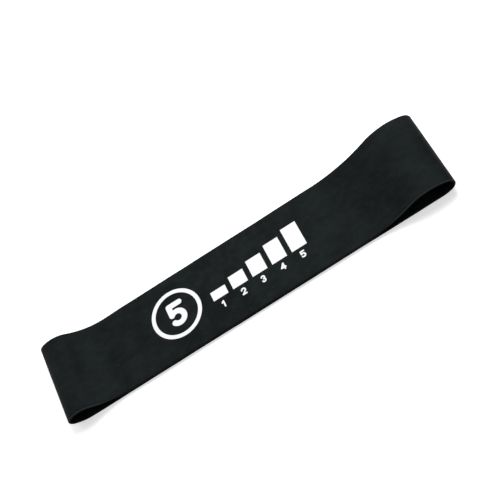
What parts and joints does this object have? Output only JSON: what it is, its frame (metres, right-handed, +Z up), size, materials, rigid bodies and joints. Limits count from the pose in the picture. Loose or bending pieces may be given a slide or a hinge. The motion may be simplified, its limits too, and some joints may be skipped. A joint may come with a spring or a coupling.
{
  "type": "resistance loop band",
  "caption": "Seamless flat rubber exercise loop, laid flat in two layers with an open rounded bend at each end and a plain resistance-level print on top.",
  "frame": {"origin": "centre of the footprint, on the surface that the lower layer lies on", "axes": "+X along the laid length towards the taller bend, +Y across the band, +Z up, away from the surface"},
  "size_m": [0.2478, 0.0508, 0.0141],
  "materials": {
    "rubber": "matte",
    "ink": "matte"
  },
  "bodies": {
    "root": {"rubber_loop": "rubber", "printed_marking": "ink"}
  },
  "joints": []
}
